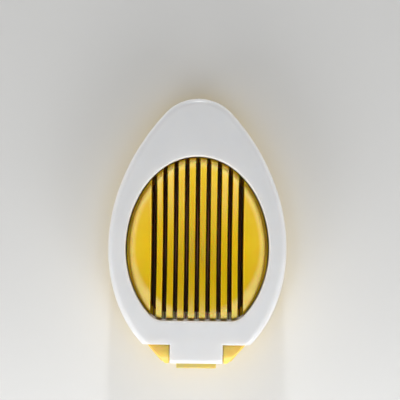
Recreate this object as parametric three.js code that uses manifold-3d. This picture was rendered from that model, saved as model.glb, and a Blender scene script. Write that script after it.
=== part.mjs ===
// Egg slicer: a hollow base with a slotted egg cradle pressed into it, and a hinged egg-shaped
// frame that carries nine steel wires. When the frame is shut, each wire lies in its own slot.
// Millimetres, +Z up. The hinge is at the -Y end and the narrow tip at the +Y end.
// The origin is on the table, under the middle of the closed slicer.
import * as THREE from "three";
import { mergeVertices } from "three/addons/utils/BufferGeometryUtils.js";
import Module from "manifold-3d";

// ---- Driving dimensions ----

// Egg-shaped plan, shared by the base and the frame.
const HALF_WIDTH = 45;
const WIDEST_Y = -7;
const SIDE_RADIUS = 91;
const SIDE_TURN = THREE.MathUtils.degToRad(18);
const SHOULDER_RADIUS = 109;
const SHOULDER_TURN = THREE.MathUtils.degToRad(43);
const REAR_SEMI_AXIS = 60.4;
const ARC_STEPS = 7; // an arc gets twice as many straight edges
const FAR = 99; // past the slicer in any direction

// Heights.
const DECK_Z = 14;
const DECK_THICKNESS = 2;
const FRAME_BOTTOM_Z = 14.3;
const FRAME_TOP_Z = 33;
const WALL = 2.2;
const FRAME_EDGE_RADIUS = 3.5;
const FRAME_EDGE_STEPS = 4;
const BASE_INSET = 0.25;

// Hinge: two ears on the base, and a tongue of the frame between them.
const HINGE_Y = -60;
const HINGE_Z = 23;
const KNUCKLE_RADIUS = 4.6;
const REAR_Y = HINGE_Y - KNUCKLE_RADIUS;
const NOTCH_Y = -55;
const FLANK_SLOPE = 0.87; // how fast the straight flanks close in behind the notch
const TONGUE_HALF_WIDTH = 13.3;
const TONGUE_CORE_HALF_WIDTH = 8;
const TONGUE_EDGE_RADIUS = 2.5;
const TONGUE_NECK_Z = HINGE_Z - 3.6;
const EAR_INNER_X = 13.7;
const EAR_INSET = 1.75; // from the outline of the frame
const EAR_REAR_Y = -65.3;
const EAR_ROUND_TURN = THREE.MathUtils.degToRad(125); // from the front; then the top slopes
const EAR_CORE_TOP_Z = HINGE_Z - 5;
const PIN_RADIUS = 1.5;
const PIN_HALF_LENGTH = 18.4;
const EAR_BORE_RADIUS = 1.6;
const TONGUE_BORE_RADIUS = 1.65;

// Rear lip of the base, where the tongue lands when the frame is wide open.
const LIP_HALF_WIDTH = 10.3;
const LIP_REAR_Y = -69;
const LIP_TOP_Z = 14.6;
const LIP_BOTTOM_Z = 9.5;

// Bevel under the frame's tip, for a fingernail.
const NAIL_BEVEL = 2.2;
const NAIL_BEVEL_HALF_WIDTH = 12;

// Window in the frame, and the cradle that stands up through it. Both are ovals: half ellipses
// that meet on the widest line, cut off flat at the rear, with round corners there.
const WINDOW = {
  halfWidth: 36.2,
  tipReach: 46.8,
  rearReach: 44,
  flatReach: 36.1,
  cornerRadius: 10,
};
const SIDE_GAP = 2;
const END_GAP = 1.2;
const CRADLE = {
  halfWidth: WINDOW.halfWidth - SIDE_GAP,
  tipReach: WINDOW.tipReach - END_GAP,
  rearReach: WINDOW.rearReach,
  flatReach: WINDOW.flatReach - END_GAP,
  cornerRadius: WINDOW.cornerRadius - END_GAP,
};
const WINDOW_WALL = 2;
const WINDOW_WALL_BOTTOM_Z = 15.2;
const WINDOW_CHAMFER = 1;
const RELIEF = 1; // the lower wall steps back by this, to swing past the cradle's rear
const RELIEF_TOP_Z = 20;
const CRADLE_RIM_Z = 31.5;
const CRADLE_BOTTOM_Z = 4;
const CRADLE_EDGE_RADIUS = 2;
const CRADLE_EDGE_STEPS = 3;

// A step round the cradle below its rim, which narrows the gap at the sides and the tip.
const STEP_GAP = 0.4;
const STEP_TOP_Z = 27;
const STEP_EDGE_RADIUS = 0.4;
const STEP_EDGE_STEPS = 2;
const STEP = {
  ...CRADLE,
  halfWidth: WINDOW.halfWidth - STEP_GAP,
  tipReach: WINDOW.tipReach - STEP_GAP,
};

// The cradle's flange lies on a ledge under the deck, and its snap ridge holds below the ledge.
const SEAT_OFFSET = 1; // offsets are from the window's outline, outwards
const SEAT_Z = 11.7;
const LEDGE_INNER = -0.8;
const LEDGE_OUTER = 3;
const LEDGE_BOTTOM_Z = 9.7;
const FLANGE_OFFSET = 0.7;
const COLLAR_OUTER = -1.2;
const COLLAR_INNER = -2.6;
const RIDGE_OFFSET = -0.4;
const RIDGE_HEIGHT = 1.2;
const SEAT_GAP = 0.3;

// Bowl for the egg.
const BOWL_BOTTOM_Z = 19;
const BOWL_HALF_WIDTH = 33;
const BOWL_TIP_SEMI_AXIS = 43.6;
const BOWL_REAR_SEMI_AXIS = 33;
const BOWL_POWER = 1.8;
const BOWL_RINGS = 9;
const BOWL_SIDES = 48;
const BOWL_SKIN = 2.6;

// Wires, and the slots they drop into.
const WIRES = 9;
const PITCH = 5.5;
const WIRE_Z = 17.4;
const WIRE_RADIUS = 0.25;
const BEAD_RADIUS = 0.8;
const BEAD_LENGTH = 2;
const BEAD_GAP = 0.2;
const NOTCH_HALF_WIDTH = 0.5;
const NOTCH_PLAY = 0.05;
const SLOT_HALF_WIDTH = 1.15;
const OUTER_SLOT_HALF_WIDTH = 1.4;

// Keepers that hold the wire ends up behind the window wall, and their screws.
const KEEPER_INNER = 2.3;
const KEEPER_OUTER = 8.8;
const KEEPER_HALF_LENGTH = 25.5;
const KEEPER_BOTTOM_Z = 14.7;
const KEEPER_TOP_Z = 16.4;
const SCREW_X = 2.5 * PITCH;
const SCREW_OFFSET = 6.2;
const SCREW_RADIUS = 1;
const SCREW_HEAD_RADIUS = 2.1;
const SCREW_HEAD_HEIGHT = 1.1;
const SCREW_LENGTH = 9;
const SCREW_POINT_LENGTH = 1;
const SCREW_POINT_RADIUS = 0.3;
const SCREW_HOLE_RADIUS = 1.15;
const SCREW_SUNK = 0.05;
const SINK_DEPTH = 1.2;
const SINK_PLAY = 0.2; // round the head and the shank, in the keeper
const CROSS_REACH = 1.1;
const CROSS_HALF_WIDTH = 0.25;
const CROSS_DEPTH = 0.7;
const BOSS_RADIUS = 2.3;
const BOSS_BOTTOM_Z = KEEPER_TOP_Z + 0.2;
const TURNED_SIDES = 16;

// Ribs of the base and of the frame.
const RIB_X = [-9.5, 0, 9.5];
const RIB_STEP_Y = 19;
const BASE_RIB_BOTTOM_Z = 4;
const BASE_RIB_HALF_WIDTH = 0.8;
const FRAME_RIB_BOTTOM_Z = WIRE_Z + 2.2;
const FRAME_RIB_HALF_WIDTH = 0.75;
const SINK_IN = 1; // how far ribs and bosses run into the walls they stand on

const YELLOW = { color: 0xe8b40c, roughness: 0.35, metalness: 0 };
const WHITE = { color: 0xe4e4e2, roughness: 0.4, metalness: 0 };
const STEEL = { color: 0xb8babd, roughness: 0.25, metalness: 1 };

// ---- Solids ----

const wasm = await Module();
wasm.setup();

// A closed three.js geometry as a solid that can be joined and cut.
function solid(geometry) {
  geometry.deleteAttribute("normal");
  geometry.deleteAttribute("uv");
  const merged = mergeVertices(geometry, 1e-4);
  return new wasm.Manifold(
    new wasm.Mesh({
      numProp: 3,
      vertProperties: merged.attributes.position.array,
      triVerts: new Uint32Array(merged.index.array),
    }),
  );
}

// A solid as a named mesh with its material.
function part(name, made, look) {
  const mesh = made.getMesh();
  const geometry = new THREE.BufferGeometry();
  geometry.setAttribute("position", new THREE.BufferAttribute(mesh.vertProperties, 3));
  geometry.setIndex(new THREE.BufferAttribute(mesh.triVerts, 1));
  geometry.computeVertexNormals();
  const node = new THREE.Mesh(geometry, new THREE.MeshStandardMaterial(look));
  node.name = name;
  return node;
}

const union = (...solids) => solids.reduce((a, b) => a.add(b));

function box(x0, x1, y0, y1, z0, z1) {
  const geometry = new THREE.BoxGeometry(x1 - x0, y1 - y0, z1 - z0);
  return solid(geometry.translate((x0 + x1) / 2, (y0 + y1) / 2, (z0 + z1) / 2));
}

// A plan shape extruded from z0 up to z1.
function prism(shape, z0, z1) {
  const settings = { depth: z1 - z0, bevelEnabled: false, curveSegments: ARC_STEPS };
  return solid(new THREE.ExtrudeGeometry(shape, settings).translate(0, 0, z0));
}

// The same with its top edge rounded inwards by radius.
function roundedPrism(shape, z0, z1, radius, segments) {
  const settings = {
    depth: z1 - z0,
    bevelThickness: radius,
    bevelSize: radius,
    bevelOffset: -radius,
    bevelSegments: segments,
    curveSegments: ARC_STEPS,
  };
  const whole = solid(new THREE.ExtrudeGeometry(shape, settings).translate(0, 0, z0 - radius));
  return whole.intersect(box(-FAR, FAR, -FAR, FAR, z0, FAR));
}

// A shape drawn in Y and Z, extruded along X.
function sidewaysPrism(shape, x0, x1) {
  const settings = { depth: x1 - x0, bevelEnabled: false, curveSegments: ARC_STEPS };
  const geometry = new THREE.ExtrudeGeometry(shape, settings);
  geometry.rotateY(Math.PI / 2).rotateX(Math.PI / 2); // drawn x, y and depth become Y, Z and X
  return solid(geometry.translate(x0, 0, 0));
}

// A round bar from x0 to x1, on the axis at y, z.
function barAlongX(radius, x0, x1, y, z, sides = 24) {
  const geometry = new THREE.CylinderGeometry(radius, radius, x1 - x0, sides);
  return solid(geometry.rotateZ(Math.PI / 2).translate((x0 + x1) / 2, y, z));
}

function barAlongY(radius, y0, y1, x, z, sides) {
  const geometry = new THREE.CylinderGeometry(radius, radius, y1 - y0, sides);
  return solid(geometry.translate(x, (y0 + y1) / 2, z));
}

// A profile of radius and height, turned about the vertical axis at x, y.
function turned(profile, x, y, sides) {
  const points = profile.map(([radius, z]) => new THREE.Vector2(radius, z));
  const geometry = new THREE.LatheGeometry(points, sides);
  return solid(geometry.rotateX(Math.PI / 2).translate(x, y, 0));
}

// ---- Plan shapes ----

// From the widest line to the tip, each half of the egg is three arcs that run smoothly into
// each other: side, shoulder and tip. The tip arc is centred on the egg's middle line.
function beyond(centre, radius, turn) {
  const x = centre.x + radius * Math.cos(turn);
  return new THREE.Vector2(x, centre.y + radius * Math.sin(turn));
}

const SIDE_CENTRE = new THREE.Vector2(HALF_WIDTH - SIDE_RADIUS, WIDEST_Y);
const SHOULDER_CENTRE = beyond(SIDE_CENTRE, SIDE_RADIUS - SHOULDER_RADIUS, SIDE_TURN);
const SHOULDER_END = beyond(SHOULDER_CENTRE, SHOULDER_RADIUS, SHOULDER_TURN);
const TIP_RADIUS = SHOULDER_END.x / Math.cos(SHOULDER_TURN);
const TIP_CENTRE_Y = SHOULDER_END.y - TIP_RADIUS * Math.sin(SHOULDER_TURN);
const TIP_Y = TIP_CENTRE_Y + TIP_RADIUS;

// The egg, smaller by inset all round, and cut off flat at rearY. Behind the notch its
// flanks are straight.
function eggPlan(inset, rearY) {
  const halfWidth = HALF_WIDTH - inset;
  const semiAxis = REAR_SEMI_AXIS - inset;
  const curveEndY = Math.max(rearY, NOTCH_Y);
  const turn = Math.asin((WIDEST_Y - curveEndY) / semiAxis);
  const endX = halfWidth * Math.cos(turn) - FLANK_SLOPE * (curveEndY - rearY);
  const side = SIDE_RADIUS - inset;
  const shoulder = SHOULDER_RADIUS - inset;
  const [leftShoulder, leftSide] = [Math.PI - SHOULDER_TURN, Math.PI - SIDE_TURN];
  const shape = new THREE.Shape();
  shape.absarc(0, TIP_CENTRE_Y, TIP_RADIUS - inset, SHOULDER_TURN, leftShoulder);
  shape.absarc(-SHOULDER_CENTRE.x, SHOULDER_CENTRE.y, shoulder, leftShoulder, leftSide);
  shape.absarc(-SIDE_CENTRE.x, SIDE_CENTRE.y, side, leftSide, Math.PI);
  shape.absellipse(0, WIDEST_Y, halfWidth, semiAxis, Math.PI, Math.PI + turn);
  shape.lineTo(-endX, rearY);
  shape.lineTo(endX, rearY);
  shape.absellipse(0, WIDEST_Y, halfWidth, semiAxis, -turn, 0);
  shape.absarc(SIDE_CENTRE.x, SIDE_CENTRE.y, side, 0, SIDE_TURN);
  shape.absarc(SHOULDER_CENTRE.x, SHOULDER_CENTRE.y, shoulder, SIDE_TURN, SHOULDER_TURN);
  return shape;
}

// The right rear corner of an oval that is larger by offset all round. Its arc touches the flat
// rear, and touches the ellipse where the ellipse has run through turn from the widest line.
function rearCorner(oval, offset) {
  const halfWidth = oval.halfWidth + offset;
  const reach = oval.rearReach + offset;
  const radius = oval.cornerRadius + offset;
  const centreY = WIDEST_Y - oval.flatReach - offset + radius;
  const centreAt = (turn) => {
    const outward = new THREE.Vector2(Math.cos(turn) / halfWidth, -Math.sin(turn) / reach);
    const x = halfWidth * Math.cos(turn);
    const y = WIDEST_Y - reach * Math.sin(turn);
    return new THREE.Vector2(x, y).sub(outward.setLength(radius));
  };
  let [low, high] = [0, Math.PI / 2];
  while (high - low > 1e-9) {
    const middle = (low + high) / 2;
    if (centreAt(middle).y > centreY) low = middle;
    else high = middle;
  }
  const centre = centreAt(low);
  const x = halfWidth * Math.cos(low) - centre.x;
  const y = WIDEST_Y - reach * Math.sin(low) - centre.y;
  return { turn: low, centre, radius, arcEnd: Math.atan2(y, x) };
}

function ovalPlan(oval, offset) {
  const { turn, centre, radius, arcEnd } = rearCorner(oval, offset);
  const halfWidth = oval.halfWidth + offset;
  const tipReach = oval.tipReach + offset;
  const rearReach = oval.rearReach + offset;
  const behind = -Math.PI / 2;
  const shape = new THREE.Shape();
  shape.absellipse(0, WIDEST_Y, halfWidth, tipReach, 0, Math.PI / 2);
  shape.absellipse(0, WIDEST_Y, halfWidth, tipReach, Math.PI / 2, Math.PI);
  shape.absellipse(0, WIDEST_Y, halfWidth, rearReach, Math.PI, Math.PI + turn);
  shape.absarc(-centre.x, centre.y, radius, -Math.PI - arcEnd, behind);
  shape.absarc(centre.x, centre.y, radius, behind, arcEnd);
  shape.absellipse(0, WIDEST_Y, halfWidth, rearReach, -turn, 0);
  return shape;
}

// Where a line at x crosses an oval, at the tip end and at the rear end.
function tipEdge(oval, x, offset) {
  const share = x / (oval.halfWidth + offset);
  return WIDEST_Y + (oval.tipReach + offset) * Math.sqrt(1 - share ** 2);
}

function rearEdge(oval, x, offset) {
  const { centre, radius, arcEnd } = rearCorner(oval, offset);
  const past = Math.max(0, Math.abs(x) - centre.x);
  if (past < radius * Math.cos(arcEnd)) return centre.y - Math.sqrt(radius ** 2 - past ** 2);
  const share = x / (oval.halfWidth + offset);
  return WIDEST_Y - (oval.rearReach + offset) * Math.sqrt(1 - share ** 2);
}

const wireX = (index) => (index - (WIRES - 1) / 2) * PITCH;
const screwPlaces = [
  [-SCREW_X, rearEdge(WINDOW, SCREW_X, SCREW_OFFSET)],
  [SCREW_X, rearEdge(WINDOW, SCREW_X, SCREW_OFFSET)],
  [-SCREW_X, tipEdge(WINDOW, SCREW_X, SCREW_OFFSET)],
  [SCREW_X, tipEdge(WINDOW, SCREW_X, SCREW_OFFSET)],
];

// ---- Cradle ----

// Everything above the bowl's surface lowered by drop, out to reach times the bowl's size. The
// bowl is a turned dish of radius 1, stretched to a different length at each end.
function aboveBowl(drop, reach) {
  const depth = CRADLE_RIM_Z - BOWL_BOTTOM_Z;
  const profile = [];
  for (let ring = 0; ring <= BOWL_RINGS; ring++) {
    const share = (reach * ring) / BOWL_RINGS;
    profile.push(new THREE.Vector2(share, BOWL_BOTTOM_Z - drop + depth * share ** BOWL_POWER));
  }
  profile.push(new THREE.Vector2(reach, FAR), new THREE.Vector2(0, FAR));
  const geometry = new THREE.LatheGeometry(profile, BOWL_SIDES).rotateX(Math.PI / 2);
  const points = geometry.getAttribute("position");
  for (let i = 0; i < points.count; i++) {
    const lengthwise = points.getY(i) > 0 ? BOWL_TIP_SEMI_AXIS : BOWL_REAR_SEMI_AXIS;
    points.setXY(i, points.getX(i) * BOWL_HALF_WIDTH, WIDEST_Y + points.getY(i) * lengthwise);
  }
  return solid(geometry);
}

// The hollow under each side of the bowl, outside the slots.
function sidePockets() {
  const slotted = wireX(WIRES - 1) + OUTER_SLOT_HALF_WIDTH + WALL;
  const pastOutline = 1.2;
  return prism(ovalPlan(CRADLE, -WALL), -1, CRADLE_RIM_Z - BOWL_SKIN)
    .subtract(box(-slotted, slotted, -FAR, FAR, -FAR, FAR))
    .subtract(aboveBowl(BOWL_SKIN, pastOutline));
}

function slots() {
  const cuts = [];
  for (let index = 0; index < WIRES; index++) {
    const outer = index === 0 || index === WIRES - 1;
    const half = outer ? OUTER_SLOT_HALF_WIDTH : SLOT_HALF_WIDTH;
    cuts.push(box(wireX(index) - half, wireX(index) + half, -FAR, FAR, -1, FAR));
  }
  return union(...cuts);
}

function cradle() {
  const [body, step] = [ovalPlan(CRADLE, 0), ovalPlan(STEP, 0)];
  const rounding = [CRADLE_EDGE_RADIUS, CRADLE_EDGE_STEPS];
  const stepRounding = [STEP_EDGE_RADIUS, STEP_EDGE_STEPS];
  return roundedPrism(body, CRADLE_BOTTOM_Z, CRADLE_RIM_Z, ...rounding)
    .add(roundedPrism(step, DECK_Z - SINK_IN, STEP_TOP_Z, ...stepRounding))
    .subtract(aboveBowl(0, 1))
    .subtract(sidePockets())
    .subtract(slots())
    .add(collar());
}

// The ring that joins the fins' ends, with the flange and the snap ridge round it.
function collar() {
  const ridgeTop = LEDGE_BOTTOM_Z - SEAT_GAP;
  const flange = prism(ovalPlan(WINDOW, FLANGE_OFFSET), SEAT_Z + SEAT_GAP, DECK_Z);
  const wall = prism(ovalPlan(WINDOW, COLLAR_OUTER), CRADLE_BOTTOM_Z, DECK_Z);
  const ridge = prism(ovalPlan(WINDOW, RIDGE_OFFSET), ridgeTop - RIDGE_HEIGHT, ridgeTop);
  return union(flange, wall, ridge).subtract(prism(ovalPlan(WINDOW, COLLAR_INNER), 0, FAR));
}

// ---- Base, with its ears and rear lip in one moulding ----

// Ribs from the cradle's seat out to the skirt.
function baseRibs() {
  const [low, high] = [BASE_RIB_BOTTOM_Z, DECK_Z - SINK_IN];
  const half = BASE_RIB_HALF_WIDTH;
  const across = [WIDEST_Y - RIB_STEP_Y, WIDEST_Y + RIB_STEP_Y].map((y) =>
    box(-FAR, FAR, y - half, y + half, low, high),
  );
  const lengthwise = RIB_X.map((x) => box(x - half, x + half, 0, FAR, low, high));
  return union(...across, ...lengthwise)
    .subtract(prism(ovalPlan(WINDOW, SEAT_OFFSET), 0, DECK_Z))
    .intersect(prism(eggPlan(BASE_INSET + SINK_IN, NOTCH_Y), 0, DECK_Z));
}

// The step under the deck that the cradle's flange lies on.
function ledge() {
  return prism(ovalPlan(WINDOW, LEDGE_OUTER), LEDGE_BOTTOM_Z, DECK_Z - SINK_IN)
    .subtract(prism(ovalPlan(WINDOW, LEDGE_INNER), 0, FAR))
    .subtract(prism(ovalPlan(WINDOW, SEAT_OFFSET), SEAT_Z, FAR));
}

// One ear at each side of the tongue. Its front and top are round about the hinge axis, as far
// round as the frame's notch swings, and from there its top slopes down to its rear face.
function ears() {
  const slopeStart = beyond(new THREE.Vector2(HINGE_Y, HINGE_Z), KNUCKLE_RADIUS, EAR_ROUND_TURN);
  const slopeFall = (slopeStart.x - EAR_REAR_Y) / Math.tan(Math.PI - EAR_ROUND_TURN);
  const profile = new THREE.Shape();
  profile.moveTo(EAR_REAR_Y, 0);
  profile.lineTo(HINGE_Y + KNUCKLE_RADIUS, 0);
  profile.absarc(HINGE_Y, HINGE_Z, KNUCKLE_RADIUS, 0, EAR_ROUND_TURN);
  profile.lineTo(EAR_REAR_Y, slopeStart.y - slopeFall);
  return sidewaysPrism(profile, -FAR, FAR)
    .intersect(prism(eggPlan(EAR_INSET, EAR_REAR_Y), 0, FAR))
    .subtract(box(-EAR_INNER_X, EAR_INNER_X, -FAR, 0, -1, FAR))
    .subtract(barAlongX(EAR_BORE_RADIUS, -FAR, FAR, HINGE_Y, HINGE_Z));
}

// The hollows inside the ears, open below like the rest of the base.
function earCores() {
  const innerX = EAR_INNER_X + WALL;
  const frontY = HINGE_Y + KNUCKLE_RADIUS - WALL;
  const both = box(-FAR, FAR, -FAR, frontY, -1, EAR_CORE_TOP_Z);
  return both
    .subtract(box(-innerX, innerX, -FAR, 0, -2, FAR))
    .intersect(prism(eggPlan(EAR_INSET + WALL, EAR_REAR_Y + WALL), -1, FAR));
}

function baseTray() {
  const outside = prism(eggPlan(BASE_INSET, EAR_REAR_Y), 0, DECK_Z);
  const insidePlan = eggPlan(BASE_INSET + WALL, EAR_REAR_Y + WALL);
  const inside = prism(insidePlan, -1, DECK_Z - DECK_THICKNESS);
  const seat = prism(ovalPlan(WINDOW, SEAT_OFFSET), -1, FAR);
  const lipFrontY = EAR_REAR_Y + WALL;
  const [lipX, lipRearY] = [LIP_HALF_WIDTH, LIP_REAR_Y];
  const lip = box(-lipX, lipX, lipRearY, lipFrontY, LIP_BOTTOM_Z, LIP_TOP_Z);
  return union(outside.subtract(inside).subtract(seat), ledge(), baseRibs(), ears(), lip)
    .subtract(earCores())
    .subtract(nailBevel());
}

function nailBevel() {
  const edgeY = TIP_Y - BASE_INSET - NAIL_BEVEL;
  const past = NAIL_BEVEL + 1;
  const shape = new THREE.Shape();
  shape.moveTo(edgeY - 1, DECK_Z + 1);
  shape.lineTo(edgeY + past, DECK_Z - past);
  shape.lineTo(edgeY + past, DECK_Z + 1);
  return sidewaysPrism(shape, -NAIL_BEVEL_HALF_WIDTH, NAIL_BEVEL_HALF_WIDTH);
}

// ---- Hinged frame ----

// The block between the ears: a rounded top edge behind, and the barrel round the pin below.
function tongue() {
  const frontY = NOTCH_Y + SINK_IN;
  const neckAngle = Math.asin((TONGUE_NECK_Z - HINGE_Z) / KNUCKLE_RADIUS);
  const cornerY = REAR_Y + TONGUE_EDGE_RADIUS;
  const cornerZ = FRAME_TOP_Z - TONGUE_EDGE_RADIUS;
  const profile = new THREE.Shape();
  profile.moveTo(frontY, FRAME_TOP_Z);
  profile.lineTo(cornerY, FRAME_TOP_Z);
  profile.absarc(cornerY, cornerZ, TONGUE_EDGE_RADIUS, Math.PI / 2, Math.PI);
  profile.absarc(HINGE_Y, HINGE_Z, KNUCKLE_RADIUS, Math.PI, 2 * Math.PI + neckAngle);
  profile.lineTo(frontY, TONGUE_NECK_Z);
  const core = box(
    -TONGUE_CORE_HALF_WIDTH, TONGUE_CORE_HALF_WIDTH,
    REAR_Y + WALL, NOTCH_Y - WALL,
    FRAME_BOTTOM_Z, FRAME_TOP_Z - WALL,
  );
  return sidewaysPrism(profile, -TONGUE_HALF_WIDTH, TONGUE_HALF_WIDTH)
    .subtract(core)
    .subtract(barAlongX(TONGUE_BORE_RADIUS, -FAR, FAR, HINGE_Y, HINGE_Z));
}

// Ribs under the top plate, between the window wall and the skirt. They stay above the wires.
function frameRibs() {
  const [low, high] = [FRAME_RIB_BOTTOM_Z, FRAME_TOP_Z - SINK_IN];
  const half = FRAME_RIB_HALF_WIDTH;
  const across = [WIDEST_Y - RIB_STEP_Y, WIDEST_Y, WIDEST_Y + RIB_STEP_Y].map((y) =>
    box(-FAR, FAR, y - half, y + half, low, high),
  );
  const lengthwise = RIB_X.map((x) => box(x - half, x + half, 0, FAR, low, high));
  return union(...across, ...lengthwise)
    .intersect(prism(eggPlan(SINK_IN, NOTCH_Y), 0, FAR))
    .subtract(prism(ovalPlan(WINDOW, SINK_IN), 0, FAR));
}

function screwBosses() {
  const [low, high] = [BOSS_BOTTOM_Z, FRAME_TOP_Z - SINK_IN];
  const profile = [[0, low], [BOSS_RADIUS, low], [BOSS_RADIUS, high], [0, high]];
  return union(...screwPlaces.map(([x, y]) => turned(profile, x, y, TURNED_SIDES)));
}

function screwHoles() {
  const radius = SCREW_HOLE_RADIUS;
  const top = KEEPER_BOTTOM_Z + SCREW_LENGTH + SCREW_POINT_LENGTH;
  const profile = [[0, 0], [radius, 0], [radius, top], [0, top]];
  return union(...screwPlaces.map(([x, y]) => turned(profile, x, y, TURNED_SIDES)));
}

// Notches in the window wall that the wires lie in.
function wireNotches() {
  const half = NOTCH_HALF_WIDTH;
  const top = WIRE_Z + WIRE_RADIUS + NOTCH_PLAY;
  const pastWall = WINDOW_WALL + 1;
  const cuts = [];
  for (let index = 0; index < WIRES; index++) {
    const x = wireX(index);
    const [rearY, tipY] = [rearEdge(WINDOW, x, pastWall), tipEdge(WINDOW, x, pastWall)];
    cuts.push(box(x - half, x + half, rearY, tipY, 0, top));
  }
  return union(...cuts);
}

function frame() {
  const outside = eggPlan(0, NOTCH_Y - FRAME_EDGE_RADIUS - SINK_IN);
  const rounding = [FRAME_EDGE_RADIUS, FRAME_EDGE_STEPS];
  const shell = roundedPrism(outside, FRAME_BOTTOM_Z, FRAME_TOP_Z, ...rounding)
    .intersect(prism(eggPlan(0, NOTCH_Y), 0, FAR))
    .subtract(prism(eggPlan(WALL, NOTCH_Y + WALL), 0, FRAME_TOP_Z - WALL));
  const wallTop = FRAME_TOP_Z - SINK_IN;
  const windowWall = prism(ovalPlan(WINDOW, WINDOW_WALL), WINDOW_WALL_BOTTOM_Z, wallTop);
  const chamfer = solid(
    new THREE.ExtrudeGeometry(ovalPlan(WINDOW, 0), {
      depth: WINDOW_CHAMFER,
      bevelThickness: WINDOW_CHAMFER,
      bevelSize: WINDOW_CHAMFER,
      bevelSegments: 2,
      curveSegments: ARC_STEPS,
    }).translate(0, 0, FRAME_TOP_Z),
  );
  return union(shell, windowWall, frameRibs(), screwBosses(), tongue())
    .subtract(prism(ovalPlan(WINDOW, 0), 0, FAR))
    .subtract(prism(ovalPlan(WINDOW, RELIEF), 0, RELIEF_TOP_Z))
    .subtract(chamfer)
    .subtract(wireNotches())
    .subtract(screwHoles());
}

// A wire with a bead pressed on each end, just outside the window wall.
function wire(index) {
  const x = wireX(index);
  const bead = BEAD_RADIUS;
  const wallRears = [x, Math.abs(x) - bead].map((edge) => rearEdge(WINDOW, edge, WINDOW_WALL));
  const wallTips = [x, Math.abs(x) - bead].map((edge) => tipEdge(WINDOW, edge, WINDOW_WALL));
  const rear = Math.min(...wallRears) - BEAD_GAP;
  const tip = Math.max(...wallTips) + BEAD_GAP;
  const middleOfBead = BEAD_LENGTH / 2;
  return union(
    barAlongY(WIRE_RADIUS, rear - middleOfBead, tip + middleOfBead, x, WIRE_Z, 8),
    barAlongY(bead, rear - BEAD_LENGTH, rear, x, WIRE_Z, 12),
    barAlongY(bead, tip, tip + BEAD_LENGTH, x, WIRE_Z, 12),
  );
}

// A flat strip that follows the window wall, at the tip end or at the rear end.
function keeper(atTip) {
  const half = KEEPER_HALF_LENGTH;
  const end = atTip ? box(-half, half, 0, FAR, 0, FAR) : box(-half, half, -FAR, WIDEST_Y, 0, FAR);
  const head = SCREW_HEAD_RADIUS + SINK_PLAY;
  const bore = SCREW_RADIUS + SINK_PLAY;
  const profile = [
    [0, 0], [head, 0], [head, KEEPER_BOTTOM_Z], [bore, KEEPER_BOTTOM_Z + SINK_DEPTH],
    [bore, FAR], [0, FAR],
  ];
  return prism(ovalPlan(WINDOW, KEEPER_OUTER), KEEPER_BOTTOM_Z, KEEPER_TOP_Z)
    .subtract(prism(ovalPlan(WINDOW, KEEPER_INNER), 0, FAR))
    .intersect(end)
    .subtract(union(...screwPlaces.map(([x, y]) => turned(profile, x, y, TURNED_SIDES))));
}

// A countersunk screw, driven up from below, with a cross in its head.
function screw([x, y]) {
  const head = KEEPER_BOTTOM_Z + SCREW_SUNK;
  const top = head + SCREW_LENGTH;
  const profile = [
    [0, head], [SCREW_HEAD_RADIUS, head], [SCREW_RADIUS, head + SCREW_HEAD_HEIGHT],
    [SCREW_RADIUS, top - SCREW_POINT_LENGTH], [SCREW_POINT_RADIUS, top], [0, top],
  ];
  const [reach, half, depth] = [CROSS_REACH, CROSS_HALF_WIDTH, head + CROSS_DEPTH];
  return turned(profile, x, y, TURNED_SIDES)
    .subtract(box(x - reach, x + reach, y - half, y + half, 0, depth))
    .subtract(box(x - half, x + half, y - reach, y + reach, 0, depth));
}

function hingePin() {
  return barAlongX(PIN_RADIUS, -PIN_HALF_LENGTH, PIN_HALF_LENGTH, HINGE_Y, HINGE_Z);
}

// ---- Assembly ----

const base = new THREE.Group();
base.add(part("base_tray", baseTray(), YELLOW));
base.add(part("egg_cradle", cradle(), YELLOW));
base.add(part("hinge_pin", hingePin(), STEEL));

const lid = new THREE.Group();
lid.add(part("lid_frame", frame(), WHITE));
for (let index = 0; index < WIRES; index++) {
  lid.add(part(`wire_${index + 1}`, wire(index), STEEL));
}
lid.add(part("rear_wire_keeper", keeper(false), WHITE));
lid.add(part("tip_wire_keeper", keeper(true), WHITE));
screwPlaces.forEach((place, index) => {
  lid.add(part(`keeper_screw_${index + 1}`, screw(place), STEEL));
});

const slicer = new THREE.Group();
slicer.add(base, lid);
export default slicer;
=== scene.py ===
"""Egg slicer, shut, seen from above: a white egg-shaped frame with nine steel wires, hinged to a
golden-yellow base with a slotted egg cradle. Shapes are worked out in millimetres."""

import math

import bmesh
import bpy
from mathutils import Matrix, Vector


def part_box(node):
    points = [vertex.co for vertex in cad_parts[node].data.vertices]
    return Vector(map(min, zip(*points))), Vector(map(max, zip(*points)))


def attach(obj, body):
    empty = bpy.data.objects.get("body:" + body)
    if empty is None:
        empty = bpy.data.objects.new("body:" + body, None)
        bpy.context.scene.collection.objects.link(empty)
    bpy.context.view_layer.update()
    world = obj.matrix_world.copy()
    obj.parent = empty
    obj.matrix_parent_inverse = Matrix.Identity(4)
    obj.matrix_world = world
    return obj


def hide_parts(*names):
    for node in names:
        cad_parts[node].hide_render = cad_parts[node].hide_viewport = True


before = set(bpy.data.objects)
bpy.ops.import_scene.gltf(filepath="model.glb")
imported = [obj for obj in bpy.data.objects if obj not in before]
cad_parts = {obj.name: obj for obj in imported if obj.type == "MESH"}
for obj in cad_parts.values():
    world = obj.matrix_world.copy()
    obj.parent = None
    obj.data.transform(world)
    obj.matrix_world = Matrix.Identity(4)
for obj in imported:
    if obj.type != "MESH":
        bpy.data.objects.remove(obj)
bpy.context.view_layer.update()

MM = 0.001


# ---- Sizes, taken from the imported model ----

def box_mm(node):
    low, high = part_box(node)
    return low / MM, high / MM


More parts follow.
